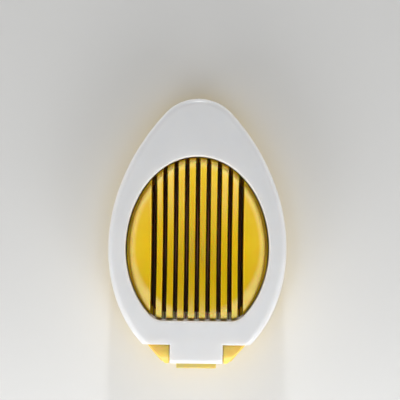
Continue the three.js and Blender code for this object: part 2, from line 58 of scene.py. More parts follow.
LID_LOW, LID_HIGH = box_mm("lid_frame")
BASE_LOW, BASE_HIGH = box_mm("base_tray")
CRADLE_LOW, CRADLE_HIGH = box_mm("egg_cradle")
PIN_LOW, PIN_HIGH = box_mm("hinge_pin")
MID_WIRE_LOW, MID_WIRE_HIGH = box_mm("wire_5")
LAST_WIRE_HIGH = box_mm("wire_9")[1]

# The egg-shaped plan: from the widest line to the tip, each half is three tangent arcs.
HALF_WIDTH = LID_HIGH.x
SIDE_RADIUS, SIDE_TURN = 91, math.radians(18)
SHOULDER_RADIUS, SHOULDER_TURN = 109, math.radians(43)
REAR_SEMI_AXIS = 60.4
FLANK_SLOPE = 0.87


def beyond(centre, radius, turn):
    return (centre[0] + radius * math.cos(turn), centre[1] + radius * math.sin(turn))


SIDE_CENTRE = (HALF_WIDTH - SIDE_RADIUS, 0)
SHOULDER_CENTRE = beyond(SIDE_CENTRE, SIDE_RADIUS - SHOULDER_RADIUS, SIDE_TURN)
SHOULDER_END = beyond(SHOULDER_CENTRE, SHOULDER_RADIUS, SHOULDER_TURN)
TIP_RADIUS = SHOULDER_END[0] / math.cos(SHOULDER_TURN)
TIP_CENTRE = (0, SHOULDER_END[1] - TIP_RADIUS * math.sin(SHOULDER_TURN))
WIDEST_Y = LID_HIGH.y - TIP_CENTRE[1] - TIP_RADIUS

# Hinge.
HINGE_Y = (PIN_LOW.y + PIN_HIGH.y) / 2
HINGE_Z = (PIN_LOW.z + PIN_HIGH.z) / 2
REAR_Y = LID_LOW.y
KNUCKLE_RADIUS = HINGE_Y - REAR_Y
NOTCH_Y = HINGE_Y + 5
TONGUE_HALF_WIDTH = 13.3
TONGUE_EDGE_RADIUS = 2.5
EAR_INNER_X = 13.7
EAR_INSET = 1.75
EAR_REAR_Y = HINGE_Y - 5.3
EAR_ROUND_TURN = math.radians(125)
PIN_RADIUS = (PIN_HIGH.z - PIN_LOW.z) / 2

# Frame and base.
FRAME_TOP_Z, FRAME_BOTTOM_Z = LID_HIGH.z, LID_LOW.z
DECK_Z = 14
LIP_HALF_WIDTH = 10.3
LIP_TOP_Z, LIP_LOW_Z = DECK_Z + 0.6, DECK_Z - 4.5
WALL = 2.2
EDGE_RADIUS = 3.5
BASE_INSET = HALF_WIDTH - BASE_HIGH.x

# Window of the frame, and the cradle inside it.
WINDOW = {"half": 36.2, "tip": 46.8, "rear": 44, "flat": 36.1, "corner": 10}
SIDE_GAP, END_GAP = 2, 1.2
CRADLE = {
    "half": WINDOW["half"] - SIDE_GAP, "tip": WINDOW["tip"] - END_GAP, "rear": WINDOW["rear"],
    "flat": WINDOW["flat"] - END_GAP, "corner": WINDOW["corner"] - END_GAP,
}
STEP_GAP, STEP_REAR_INSET, STEP_TOP_Z = 0.4, 0.1, 27
STEP = {
    **CRADLE, "half": WINDOW["half"] - STEP_GAP, "tip": WINDOW["tip"] - STEP_GAP,
    "flat": CRADLE["flat"] - STEP_REAR_INSET,
}
WINDOW_WALL = 2
WINDOW_WALL_BOTTOM_Z = FRAME_BOTTOM_Z + 0.9
RELIEF, RELIEF_TOP_Z = 1, 20
RIM_Z = CRADLE_HIGH.z
FIN_BOTTOM_Z = CRADLE_LOW.z
RIM_ROUND = 2
FIN_EDGE = 0.5
BOWL_BOTTOM_Z = 19
BOWL_HALF_WIDTH = 33
BOWL_TIP_SEMI_AXIS = 43.6
BOWL_REAR_SEMI_AXIS = 33
BOWL_POWER = 1.8
BOWL_SKIN = 2.6
SEAT_Z, SEAT_OFFSET = DECK_Z - 2.3, 1
LEDGE_INNER, LEDGE_OUTER, LEDGE_BOTTOM_Z = -0.8, 3, DECK_Z - 4.3

# Stiffening ribs under the frame and the base.
SIDE_RIB_SPACING, TIP_RIB_SPACING = 19, 9.5
RIB_OVERLAP, RIB_EDGE = 1, 0.25

# Wires.
WIRES = 9
PITCH = (LAST_WIRE_HIGH.x - MID_WIRE_HIGH.x) / 4
WIRE_Z = (MID_WIRE_LOW.z + MID_WIRE_HIGH.z) / 2
WIRE_RADIUS = 0.25
BEAD_LENGTH = 2
SLOT_HALF_WIDTH, OUTER_SLOT_HALF_WIDTH = 1.15, 1.4

# How finely the meshes are cut.
FLANK_POINTS, REAR_ELLIPSE_POINTS, REAR_LINE_POINTS = 12, 44, 24
SIDE_POINTS, SHOULDER_POINTS, TIP_POINTS = 16, 28, 20
OVAL_CORNER_POINTS = 16
FIN_SECTIONS = 72
BEVEL_SEGMENTS = 3
SHARP_ANGLE = math.radians(32)
MERGE_DISTANCE = 2e-6
TINY_RADIUS = 0.02


# ---- Plan outlines, as lists of points ----

def arc(centre, radius, start, end, count):
    """Points on an arc, without the last one."""
    turns = [start + (end - start) * i / count for i in range(count)]
    return [beyond(centre, radius, turn) for turn in turns]


def rear_turn(y, semi_axis):
    return math.asin(min(1, (WIDEST_Y - y) / semi_axis))


def egg_right(inset, rear_y, flank_y=None):
    """The egg's right side from the rear to the tip. With flank_y it goes on, straight, behind
    the notch as far as flank_y."""
    half_width, semi_axis = HALF_WIDTH - inset, REAR_SEMI_AXIS - inset
    points = []
    if flank_y is not None:
        corner_x = half_width * math.cos(rear_turn(NOTCH_Y, semi_axis))
        for i in range(FLANK_POINTS):
            y = flank_y + (NOTCH_Y - flank_y) * i / FLANK_POINTS
            points.append((corner_x - FLANK_SLOPE * (NOTCH_Y - y), y))
        rear_y = NOTCH_Y
    turn = rear_turn(rear_y, semi_axis)
    for i in range(REAR_ELLIPSE_POINTS):
        angle = -turn * (1 - i / REAR_ELLIPSE_POINTS)
        points.append((half_width * math.cos(angle), WIDEST_Y + semi_axis * math.sin(angle)))
    for centre, radius, start, end, count in (
        (SIDE_CENTRE, SIDE_RADIUS, 0, SIDE_TURN, SIDE_POINTS),
        (SHOULDER_CENTRE, SHOULDER_RADIUS, SIDE_TURN, SHOULDER_TURN, SHOULDER_POINTS),
        (TIP_CENTRE, TIP_RADIUS, SHOULDER_TURN, math.pi / 2, TIP_POINTS),
    ):
        points += arc((centre[0], centre[1] + WIDEST_Y), radius - inset, start, end, count)
    return points + [(0, LID_HIGH.y - inset)]


def rear_corner(oval, offset):
    """The right rear corner of an oval larger by offset: how far the ellipse runs before it, and
    its arc's centre, radius and end."""
    half, rear, radius = oval["half"] + offset, oval["rear"] + offset, oval["corner"] + offset
    centre_y = WIDEST_Y - oval["flat"] - offset + radius

    def touch(turn):
        outward = Vector((math.cos(turn) / half, -math.sin(turn) / rear)).normalized() * radius
        point = Vector((half * math.cos(turn), WIDEST_Y - rear * math.sin(turn)))
        return point - outward, outward

    low, high = 0, math.pi / 2
    while high - low > 1e-9:
        middle = (low + high) / 2
        if touch(middle)[0].y > centre_y:
            low = middle
        else:
            high = middle
    centre, outward = touch(low)
    return low, centre, radius, math.atan2(outward.y, outward.x)


def oval_right(oval, offset, count=108):
    """The right side of an oval larger by offset, from its flat rear to its tip."""
    turn, centre, radius, arc_end = rear_corner(oval, offset)
    points = arc(centre, radius, -math.pi / 2, arc_end, OVAL_CORNER_POINTS)
    steps = count - len(points)
    for i in range(steps):
        angle = -turn + (math.pi / 2 + turn) * i / steps
        semi_axis = oval["rear" if angle < 0 else "tip"] + offset
        points.append(((oval["half"] + offset) * math.cos(angle),
                       WIDEST_Y + semi_axis * math.sin(angle)))
    return points + [(0, WIDEST_Y + oval["tip"] + offset)]


def whole(right):
    """A closed loop from its right side: the left side mirrors it, and the rear is straight."""
    left = [(-x, y) for x, y in reversed(right[:-1])]
    (x0, y0), (x1, y1) = left[-1], right[0]
    steps = [i / REAR_LINE_POINTS for i in range(1, REAR_LINE_POINTS)]
    return right + left + [(x0 + (x1 - x0) * t, y0 + (y1 - y0) * t) for t in steps]


def oval_end(oval, x, offset, end):
    """The y where a line at x crosses an oval. end is 1 at the tip, -1 behind."""
    share = math.sqrt(max(0, 1 - (x / (oval["half"] + offset)) ** 2))
    if end > 0:
        return WIDEST_Y + (oval["tip"] + offset) * share
    _, centre, radius, arc_end = rear_corner(oval, offset)
    past = max(0, abs(x) - centre.x)
    if past < radius * math.cos(arc_end):
        return centre.y - math.sqrt(radius ** 2 - past ** 2)
    return WIDEST_Y - (oval["rear"] + offset) * share


def oval_side(oval, y, offset):
    """The x where a line at y crosses the right side of an oval."""
    _, centre, radius, arc_end = rear_corner(oval, offset)
    if y < centre.y + radius * math.sin(arc_end):
        return centre.x + math.sqrt(max(0, radius ** 2 - (y - centre.y) ** 2))
    reach = oval["tip" if y > WIDEST_Y else "rear"] + offset
    return (oval["half"] + offset) * math.sqrt(max(0, 1 - ((y - WIDEST_Y) / reach) ** 2))


def egg_side(y):
    """The x of the egg's right side at y."""
    return min((abs(point[1] - y), point[0]) for point in egg_right(0, NOTCH_Y))[1]


def egg_tip(x, inset):
    """The y of the egg's tip end at x."""
    return max(point[1] for point in egg_right(inset, NOTCH_Y) if point[0] >= abs(x))


# ---- Mesh building ----

def new_object(name, data):
    thing = bpy.data.objects.new(name, data)
    bpy.context.scene.collection.objects.link(thing)
    return thing


def from_bmesh(name, mesh):
    bmesh.ops.recalc_face_normals(mesh, faces=mesh.faces)
    data = bpy.data.meshes.new(name)
    mesh.to_mesh(data)
    mesh.free()
    return new_object(name, data)


def loft(name, rings, closed=False):
    """A skin over rings of points in millimetres. closed joins the last ring to the first;
    otherwise each end gets a flat cap."""
    mesh = bmesh.new()
    verts = [[mesh.verts.new(Vector(point) * MM) for point in ring] for ring in rings]
    pairs = list(zip(verts, verts[1:]))
    if closed:
        pairs.append((verts[-1], verts[0]))
    for a, b in pairs:
        for i in range(len(a)):
            j = (i + 1) % len(a)
            mesh.faces.new((a[i], a[j], b[j], b[i]))
    if not closed:
        mesh.faces.new(verts[0])
        mesh.faces.new(verts[-1])
    return from_bmesh(name, mesh)


def block(name, low, high, radius=0.0):
    """A box, with rounded edges if it has a radius."""
    mesh = bmesh.new()
    bmesh.ops.create_cube(mesh, size=1)
    low, high = Vector(low), Vector(high)
    for vert in mesh.verts:
        vert.co = Vector((low[i] + (high[i] - low[i]) * (vert.co[i] + 0.5) for i in range(3))) * MM
    if radius:
        bmesh.ops.bevel(
            mesh, geom=mesh.edges[:], offset=radius * MM, segments=BEVEL_SEGMENTS,
            profile=0.5, affect="EDGES",
        )
    return from_bmesh(name, mesh)


def turned(name, profile, matrix, sides=48):
    """A profile of (radius, height) pairs turned about an axis that matrix puts in place."""
    rings = []
    for radius, height in profile:
        turns = [2 * math.pi * i / sides for i in range(sides)]
        points = [Vector((radius * math.cos(t), radius * math.sin(t), height)) for t in turns]
        rings.append([matrix @ point for point in points])
    return loft(name, rings)


# Places for turned pieces: the axis along Z, X or Y, through a point.
def upright(x, y):
    return Matrix.Translation((x, y, 0))


def along_x(y, z):
    return Matrix.Translation((0, y, z)) @ Matrix.Rotation(math.pi / 2, 4, "Y")


def along_y(x, z):
    return Matrix.Translation((x, 0, z)) @ Matrix.Rotation(-math.pi / 2, 4, "X")


def combine(piece, others, operation):
    """Joins others to the piece, or cuts them from it, and deletes them."""
    for other in others:
        change = piece.modifiers.new(operation, "BOOLEAN")
        change.operation = operation
        change.solver = "MANIFOLD"
        change.object = other
        graph = bpy.context.evaluated_depsgraph_get()
        made = bpy.data.meshes.new_from_object(piece.evaluated_get(graph))
        piece.modifiers.clear()
        piece.data = made
        bpy.data.objects.remove(other)
    return piece


def finish_piece(piece, body, material, nodes):
    """Smooth shading that keeps flat faces flat, then the piece's material and body, and hides the
    nodes that it stands for."""
    mesh = bmesh.new()
    mesh.from_mesh(piece.data)
    bmesh.ops.remove_doubles(mesh, verts=mesh.verts, dist=MERGE_DISTANCE)
    bmesh.ops.dissolve_degenerate(mesh, edges=mesh.edges, dist=MERGE_DISTANCE / 2)
    mesh.to_mesh(piece.data)
    mesh.free()
    piece.data.shade_smooth()
    piece.data.set_sharp_from_angle(angle=SHARP_ANGLE)
    weights = piece.modifiers.new("flat faces stay flat", "WEIGHTED_NORMAL")
    weights.keep_sharp = True
    weights.weight = 100
    piece.data.materials.clear()
    piece.data.materials.append(material)
    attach(piece, body)
    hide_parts(*nodes)


def quarter(radius, steps):
    """(inward, downward) offsets round a quarter circle, from the side up to the top."""
    turns = [math.pi / 2 * i / steps for i in range(steps + 1)]
    return [(radius * (1 - math.cos(t)), radius * (1 - math.sin(t))) for t in turns]


# ---- Materials ----

def material(name):
    made = bpy.data.materials.new(name)
    made.use_nodes = True
    made.node_tree.nodes.clear()
    shader = made.node_tree.nodes.new("ShaderNodeBsdfPrincipled")
    output = made.node_tree.nodes.new("ShaderNodeOutputMaterial")
    made.node_tree.links.new(shader.outputs["BSDF"], output.inputs["Surface"])
    return made, shader


def noise(tree, scale, detail, stretch=(1, 1, 1)):
    """Noise in the object's own space. scale is in bumps per metre."""
    place = tree.nodes.new("ShaderNodeTexCoord")
    mapping = tree.nodes.new("ShaderNodeMapping")
    mapping.inputs["Scale"].default_value = stretch
    texture = tree.nodes.new("ShaderNodeTexNoise")
    texture.inputs["Scale"].default_value = scale
    texture.inputs["Detail"].default_value = detail
    tree.links.new(place.outputs["Object"], mapping.inputs["Vector"])
    tree.links.new(mapping.outputs["Vector"], texture.inputs["Vector"])
    return texture.outputs["Fac"]


def ramp(tree, value, stops):
    """Colours or grey levels at places along value."""
    node = tree.nodes.new("ShaderNodeValToRGB")
    elements = node.color_ramp.elements
    while len(elements) < len(stops):
        elements.new(0.5)
    for element, (place, colour) in zip(elements, stops):
        element.position = place
        element.color = (*colour, 1) if isinstance(colour, tuple) else (colour,) * 3 + (1,)
    tree.links.new(value, node.inputs["Fac"])
    return node.outputs["Color"]


def bump(tree, height, strength, distance, below=None):
    """Bumps of a height, in metres, on top of those below, if any."""
    node = tree.nodes.new("ShaderNodeBump")
    node.inputs["Strength"].default_value = strength
    node.inputs["Distance"].default_value = distance
    tree.links.new(height, node.inputs["Height"])
    if below is not None:
        tree.links.new(below, node.inputs["Normal"])
    return node.outputs["Normal"]


def height_share(tree, clear, full):
    """0 at one height above the table and 1 at the other, in millimetres."""
    place = tree.nodes.new("ShaderNodeTexCoord")
    split = tree.nodes.new("ShaderNodeSeparateXYZ")
    share = tree.nodes.new("ShaderNodeMapRange")
    share.interpolation_type = "SMOOTHSTEP"
    share.inputs["From Min"].default_value = clear * MM
    share.inputs["From Max"].default_value = full * MM
    tree.links.new(place.outputs["Object"], split.inputs["Vector"])
    tree.links.new(split.outputs["Z"], share.inputs["Value"])
    return share.outputs["Result"]


def inner_share(tree, centre_y, half_width, half_length):
    """1 inside an upright elliptical cylinder about x = 0, and 0 outside it, in millimetres. The
    change takes up the outer 4% of its radius."""
    edge = 0.04
    place = tree.nodes.new("ShaderNodeTexCoord")
    mapping = tree.nodes.new("ShaderNodeMapping")
    mapping.inputs["Location"].default_value = (0, -centre_y / half_length, 0)
    mapping.inputs["Scale"].default_value = (1 / (half_width * MM), 1 / (half_length * MM), 0)
    gradient = tree.nodes.new("ShaderNodeTexGradient")
    gradient.gradient_type = "SPHERICAL"
    tree.links.new(place.outputs["Object"], mapping.inputs["Vector"])
    tree.links.new(mapping.outputs["Vector"], gradient.inputs["Vector"])
    return ramp(tree, gradient.outputs["Fac"], [(0.0, 0.0), (edge, 1.0)])


def times(tree, a, b):
    product = tree.nodes.new("ShaderNodeMath")
    product.operation = "MULTIPLY"
    tree.links.new(a, product.inputs[0])
    tree.links.new(b, product.inputs[1])
    return product.outputs["Value"]


def tinted(tree, colour, share, tint, most):
    """The colour, turning to the tint where share is 1, in patches of 70 to 100% of most. Here the
    tints are painted highlights, painted light and painted shade.
    """
    patches = ramp(tree, noise(tree, 160, 4), [(0.25, most * 0.7), (0.7, most)])
    mix = tree.nodes.new("ShaderNodeMixRGB")
    mix.inputs["Color2"].default_value = (*tint, 1)
    tree.links.new(times(tree, share, patches), mix.inputs["Fac"])
    tree.links.new(colour, mix.inputs["Color1"])
    return mix.outputs["Color"]


def plastic(name, dark, light, roughness, subsurface, radius, scale, painted_tints=()):
    """Moulded plastic: faint clouding, mould texture, and fine scratches in its gloss, with tints
    of painted highlight, painted light and painted shade on top. Each tint is a pair of heights,
    with no tint at the first and all of it at the second, its colour and its strength, and the
    ellipse that it stays in, if any."""
    made, shader = material(name)
    tree = made.node_tree
    shader.inputs["Subsurface Weight"].default_value = subsurface
    shader.inputs["Subsurface Radius"].default_value = radius
    shader.inputs["Subsurface Scale"].default_value = scale
    shader.inputs["IOR"].default_value = 1.5
    colour = ramp(tree, noise(tree, 38, 4), [(0.3, dark), (0.7, light)])
    for clear, full, tint, most, *ellipse in painted_tints:
        share = height_share(tree, clear, full)
        if ellipse:
            share = times(tree, share, inner_share(tree, *ellipse))
        colour = tinted(tree, colour, share, tint, most)
    tree.links.new(colour, shader.inputs["Base Color"])
    low, high = roughness
    scuffs = noise(tree, 420, 3, (1, 0.3, 1))
    tree.links.new(ramp(tree, scuffs, [(0.25, low), (0.8, high)]), shader.inputs["Roughness"])
    relief = 0.06
    skin = bump(tree, noise(tree, 1500, 2), relief, 0.0001)
    waves = bump(tree, noise(tree, 60, 1), relief, 0.0004, skin)
    tree.links.new(waves, shader.inputs["Normal"])
    return made


def steel(name, colour, roughness, stretch):
    """Steel with fine lines in it, drawn out along an axis by a small stretch on that axis."""
    made, shader = material(name)
    tree = made.node_tree
    shader.inputs["Metallic"].default_value = 1.0
    lines = noise(tree, 900, 3, stretch)
    darker = tuple(channel * 0.8 for channel in colour)
    tree.links.new(ramp(tree, lines, [(0.3, darker), (0.7, colour)]), shader.inputs["Base Color"])
    low, high = roughness
    tree.links.new(ramp(tree, lines, [(0.3, low), (0.7, high)]), shader.inputs["Roughness"])
    tree.links.new(bump(tree, lines, 0.15, 0.00005), shader.inputs["Normal"])
    return made


WHITE = plastic("white plastic", (0.74, 0.74, 0.745), (0.78, 0.78, 0.78), (0.3, 0.42), 0.5,
                (1.0, 0.9, 0.8), 0.006)
DEEP_YELLOW, BRIGHT_YELLOW = (0.78, 0.50, 0.001), (0.86, 0.58, 0.002)
# Colours of painted light and shade: a pale yellow painted highlight, a pale chalky painted light,
# and a pale olive painted shade.
PAINTED_HIGHLIGHT_YELLOW, PAINTED_LIGHT_PALE, PAINTED_SHADE_OLIVE = (0.92, 0.70, 0.22), (0.95, 0.85, 0.62), (0.58, 0.55, 0.22)
# Painted shade for the slots, amber.
PAINTED_SHADE_AMBER = (0.80, 0.17, 0.003)


def yellow(name, painted_tints):
    return plastic(name, DEEP_YELLOW, BRIGHT_YELLOW, (0.27, 0.33), 0.5, (1.0, 0.3, 0.02), 0.004,
                   painted_tints)


# The tints match the photo and are guesses, and all of them are painted light and shade: a paler
# painted highlight on the cradle's rim and the ears' tops, pale chalky painted light at the
# collar's rear, amber painted shade on the slots' walls but not at their foot, and olive painted
# shade on the lip. An ellipse is its centre's y, its half width and its half length.
# The ellipse that holds the painted shade in the slots.
PAINTED_SHADE_SLOTS = (WIDEST_Y + 5.5, 25.5, 38)
CRADLE_YELLOW = yellow("cradle yellow", [
    # Painted highlight, pale yellow, on the cradle's rim.
    (RIM_Z - 1.6, RIM_Z - 0.1, PAINTED_HIGHLIGHT_YELLOW, 0.8),
    # Painted light, pale and chalky, on the collar's rear between the fins' ends.
    (DECK_Z + 1.5, DECK_Z, PAINTED_LIGHT_PALE, 1, WIDEST_Y - WINDOW["flat"] + 1, 22, 4.5),
    # Painted shade, amber, on the slots' walls.
    (BOWL_BOTTOM_Z - 0.3, BOWL_BOTTOM_Z - 2, PAINTED_SHADE_AMBER, 1, *PAINTED_SHADE_SLOTS),
    # The painted shade fades back to deep yellow at the slots' foot.
    (FIN_BOTTOM_Z + 4, FIN_BOTTOM_Z + 1, DEEP_YELLOW, 1, *PAINTED_SHADE_SLOTS),
])
BASE_YELLOW = yellow("base yellow", [
    # Painted highlight, pale yellow, on the ears' tops.
    (HINGE_Z - 1, HINGE_Z + KNUCKLE_RADIUS - 1, PAINTED_HIGHLIGHT_YELLOW, 0.7),
    # Painted shade, pale olive, on the lip.
    (LIP_LOW_Z - 0.2, LIP_LOW_Z + 0.3, PAINTED_SHADE_OLIVE, 0.85, BASE_LOW.y, LIP_HALF_WIDTH + 3, 4.5),
])
# Painted shade: the wires' steel is darker and warmer than steel, as the wires look deep in the
# slots.
WIRE_STEEL_PAINTED_SHADE = steel("wire steel with painted shade", (0.32, 0.21, 0.17), (0.4, 0.55), (1, 0.02, 1))
STEEL = steel("screw steel", (0.55, 0.56, 0.58), (0.25, 0.4), (1, 1, 1))


# ---- Frame ----

def frame_shell():
    """The skirt, the top plate and the wall round the window, in one ring of skin."""
    bottom, top, under = FRAME_BOTTOM_Z, FRAME_TOP_Z, FRAME_TOP_Z - WALL
    small, fillet, lead, rear_round = 0.3, 0.8, 1.0, 0.5
    flat = 1.5
    rings = []

    def outer(inset, z, rear_inset=0.0):
        rings.append([(x, y, z) for x, y in whole(egg_right(inset, NOTCH_Y + rear_inset))])

    def window(offset, z):
        rings.append([(x, y, z) for x, y in whole(oval_right(WINDOW, offset))])

    outer(small, bottom, small)
    outer(small * 0.3, bottom + small * 0.3, small * 0.3)
    outer(0, bottom + small)
    outer(0, (bottom + top) / 2)
    for inward, down in quarter(EDGE_RADIUS, 10):
        sink = max(0, rear_round - down)
        rear_inset = rear_round - math.sqrt(rear_round ** 2 - sink ** 2)
        outer(inward, top - down, rear_inset)
    outer(EDGE_RADIUS + flat, top, rear_round + 1)
    window(lead + flat, top)
    for inward, down in reversed(quarter(lead, 6)):
        window(inward, top - down)
    window(0, RELIEF_TOP_Z)
    window(RELIEF, RELIEF_TOP_Z)
    for inward, down in quarter(small, 3):
        window(RELIEF + inward, WINDOW_WALL_BOTTOM_Z + down)
    for inward, down in reversed(quarter(small, 3)):
        window(WINDOW_WALL - inward, WINDOW_WALL_BOTTOM_Z + down)
    for inward, down in quarter(fillet, 4):
        window(WINDOW_WALL + inward, under - down)
    for inward, down in reversed(quarter(fillet, 4)):
        outer(WALL + inward, under - down, WALL + inward)
    outer(WALL, bottom + small, WALL)
    outer(WALL - small, bottom, WALL - small)
    return loft("lid_shell", rings, closed=True)


def tongue():
    """The hinge tongue: a block with a round end above and the hinge knuckle below, hollow in
    the middle and bored for the pin."""
    front_y, neck_z = NOTCH_Y + 1, HINGE_Z - 3.6
    side_edge = 0.5
    core_half_width, core_edge, clearance = 8, 0.6, 0.15

    def outline(inset):
        knuckle = KNUCKLE_RADIUS - inset
        corner = (REAR_Y + TONGUE_EDGE_RADIUS, FRAME_TOP_Z - TONGUE_EDGE_RADIUS)
        points = [(front_y, FRAME_TOP_Z - inset)]
        points += arc(corner, TONGUE_EDGE_RADIUS - inset, math.pi / 2, math.pi, 12)
        points.append((REAR_Y + inset, corner[1]))
        neck = 2 * math.pi + math.asin((neck_z + inset - HINGE_Z) / knuckle)
        points += arc((HINGE_Y, HINGE_Z), knuckle, math.pi, neck, 28)
        points += [beyond((HINGE_Y, HINGE_Z), knuckle, neck), (front_y, neck_z + inset)]
        return points

    edge = reversed(quarter(side_edge, 4))
    steps = [(inward, TONGUE_HALF_WIDTH - down) for inward, down in edge]
    rings = [[(-x, y, z) for y, z in outline(inset)] for inset, x in steps]
    rings += [[(x, y, z) for y, z in outline(inset)] for inset, x in reversed(steps)]
    piece = loft("tongue", rings)
    core = block(
        "core", (-core_half_width, REAR_Y + WALL, FRAME_BOTTOM_Z),
        (core_half_width, NOTCH_Y - WALL, FRAME_TOP_Z - WALL), core_edge,
    )
    return combine(piece, [core, bore(PIN_RADIUS + clearance)], "DIFFERENCE")


def bore(radius):
    """A cutter for the hinge's bore, longer than the hinge."""
    reach = 40
    return turned("bore", [(radius, -reach), (radius, reach)], along_x(HINGE_Y, HINGE_Z))


def screw_places():
    return [box_centre(f"keeper_screw_{number}") for number in range(1, 5)]


def box_centre(node):
    low, high = box_mm(node)
    return (low.x + high.x) / 2, (low.y + high.y) / 2


def ribs(side_places, low, high, half, window_offset, skirt_inset):
    """Ribs from the window's wall to the skirt: two at each side place, and three at the tip.
    Side places are in spacings from the widest line."""
    made = []
    for place in side_places:
        y = WIDEST_Y + place * SIDE_RIB_SPACING
        inner, outer = oval_side(WINDOW, y, window_offset), egg_side(y) - skirt_inset
        for side in (-1, 1):
            x0, x1 = sorted((side * inner, side * outer))
            made.append(block("rib", (x0, y - half, low), (x1, y + half, high), RIB_EDGE))
    for x in (-TIP_RIB_SPACING, 0, TIP_RIB_SPACING):
        y0, y1 = oval_end(WINDOW, x, window_offset, 1), egg_tip(x, skirt_inset)
        made.append(block("rib", (x - half, y0, low), (x + half, y1, high), RIB_EDGE))
    return made


def wire_x(index):
    return (index - (WIRES - 1) / 2) * PITCH


def wire_notches():
    """Cutters for the notches in the window's wall that the wires pass through."""
    half, play, past_wall = 0.5, 0.05, WINDOW_WALL + 1
    cuts = []
    for index in range(WIRES):
        x = wire_x(index)
        rear, tip = (oval_end(WINDOW, x, past_wall, end) for end in (-1, 1))
        top = WIRE_Z + WIRE_RADIUS + play
        cuts.append(block("notch", (x - half, rear, 0), (x + half, tip, top)))
    return cuts


def make_frame():
    boss_radius, boss_low, boss_high = 2.3, WIRE_Z - 0.8, FRAME_TOP_Z - 1
    hole_radius, hole_low, hole_high = 1.15, 10, WIRE_Z + 7.3
    rib_low, rib_high, rib_half = WIRE_Z + 2.2, FRAME_TOP_Z - 1, 0.75
    piece = frame_shell()
    bosses = [
        turned("boss", [(boss_radius, boss_low), (boss_radius, boss_high)], upright(x, y))
        for x, y in screw_places()
    ]
    frame_ribs = ribs((-1, 0, 1), rib_low, rib_high, rib_half, RIB_OVERLAP, RIB_OVERLAP)
    combine(piece, [tongue(), *frame_ribs, *bosses], "UNION")
    holes = [
        turned("hole", [(hole_radius, hole_low), (hole_radius, hole_high)], upright(x, y), 24)
        for x, y in screw_places()
    ]
    combine(piece, [*wire_notches(), *holes], "DIFFERENCE")
    piece.name = "lid_shell"
    finish_piece(piece, "lid", WHITE, ["lid_frame"])


# ---- Cradle ----

def soft_min(a, b, width):
    """The lower of two heights, with the crease between them rounded off."""
    h = max(0, min(1, 0.5 + (b - a) / (2 * width)))
    return b + (a - b) * h - width * h * (1 - h)


def bowl_height(x, y):
    """The height of the bowl that holds the egg, without its rim."""
    semi_axis = BOWL_TIP_SEMI_AXIS if y > WIDEST_Y else BOWL_REAR_SEMI_AXIS
    share = math.hypot(x / BOWL_HALF_WIDTH, (y - WIDEST_Y) / semi_axis)
    return BOWL_BOTTOM_Z + (RIM_Z - BOWL_BOTTOM_Z) * share ** BOWL_POWER


def depth_inside(x, y):
    """How far a point is inside the cradle's outline, near enough close to it."""
    least = 1e-6
    _, centre, radius, arc_end = rear_corner(CRADLE, 0)
    behind = Vector((abs(x) - centre.x, y - centre.y))
    if behind.y < 0 and behind.x < 0:
        return radius + behind.y
    if behind.y < 0 and math.atan2(behind.y, behind.x) < arc_end:
        return radius - behind.length
    reach = CRADLE["tip" if y > WIDEST_Y else "rear"]
    along = y - WIDEST_Y
    level = math.hypot(x / CRADLE["half"], along / reach)
    slope = math.hypot(x / CRADLE["half"] ** 2, along / reach ** 2) / max(level, least)
    return (1 - level) / max(slope, least)


def cradle_height(x, y):
    """The cradle's top surface: bowl, flat rim and rounded outline."""
    crease = 0.5
    inside = max(0, min(RIM_ROUND, depth_inside(x, y)))
    rim = RIM_Z - RIM_ROUND + math.sqrt(RIM_ROUND ** 2 - (RIM_ROUND - inside) ** 2)
    return soft_min(bowl_height(x, y), rim, crease)


def section_places():
    """Places from 0 to 1 that are closer together near both ends."""
    end_share, end_count = 0.12, 7
    middle = [i / FIN_SECTIONS for i in range(FIN_SECTIONS + 1)]
    ends = [end_share / FIN_SECTIONS * i for i in range(1, end_count + 1)]
    return sorted(set(middle + ends + [1 - place for place in ends]))


def across_section(x0, x1, y_at, t, height, rounding, bottom, count):
    """One cross-section of a fin at share t of its length: over the top from x0 to x1, with
    rounded corners, and back along the bottom."""
    shoulder = bottom + 6
    points = []
    turns = quarter(rounding, 4)
    tops = [(x0 + inward, down) for inward, down in turns]
    width = x1 - x0 - 2 * rounding
    tops += [(x0 + rounding + width * i / count, 0.0) for i in range(1, count)]
    tops += [(x1 - inward, down) for inward, down in reversed(turns)]
    for x, down in tops:
        y = y_at(x, t)
        points.append((x, y, height(x, y) - down))
    for x, z in ((x1, shoulder), (x1, bottom), (x0, bottom), (x0, shoulder)):
        points.append((x, y_at(x, t), z))
    return points


def fin(x0, x1):
    """The fin between two slots, from the outline's rear to its tip."""
    def y_at(x, t):
        rear = oval_end(CRADLE, x, 0, -1)
        return rear + (oval_end(CRADLE, x, 0, 1) - rear) * t

    sections = [
        across_section(x0, x1, y_at, t, cradle_height, FIN_EDGE, FIN_BOTTOM_Z, 6)
        for t in section_places()
    ]
    return loft("fin", sections)


def step():
    """The ring round the cradle, below its rim."""
    low, top, small, inner = DECK_Z - 1, STEP_TOP_Z, 0.4, -1.0
    rings = []

    def ring(oval, offset, z):
        rings.append([(x, y, z) for x, y in whole(oval_right(oval, offset))])

    ring(CRADLE, inner, low)
    ring(STEP, 0, low)
    for inward, down in quarter(small, 3):
        ring(STEP, -inward, top - down)
    ring(CRADLE, inner, top)
    return loft("step", rings, closed=True)


def slot_cuts():
    """Cutters as wide as the slots, and longer and taller than the cradle."""
    reach, low, high = 60, -1, RIM_Z + 5
    cuts = []
    for index in range(WIRES):
        outer = index in (0, WIRES - 1)
        x, half = wire_x(index), OUTER_SLOT_HALF_WIDTH if outer else SLOT_HALF_WIDTH
        cuts.append(block("cut", (x - half, -reach, low), (x + half, reach, high)))
    return cuts


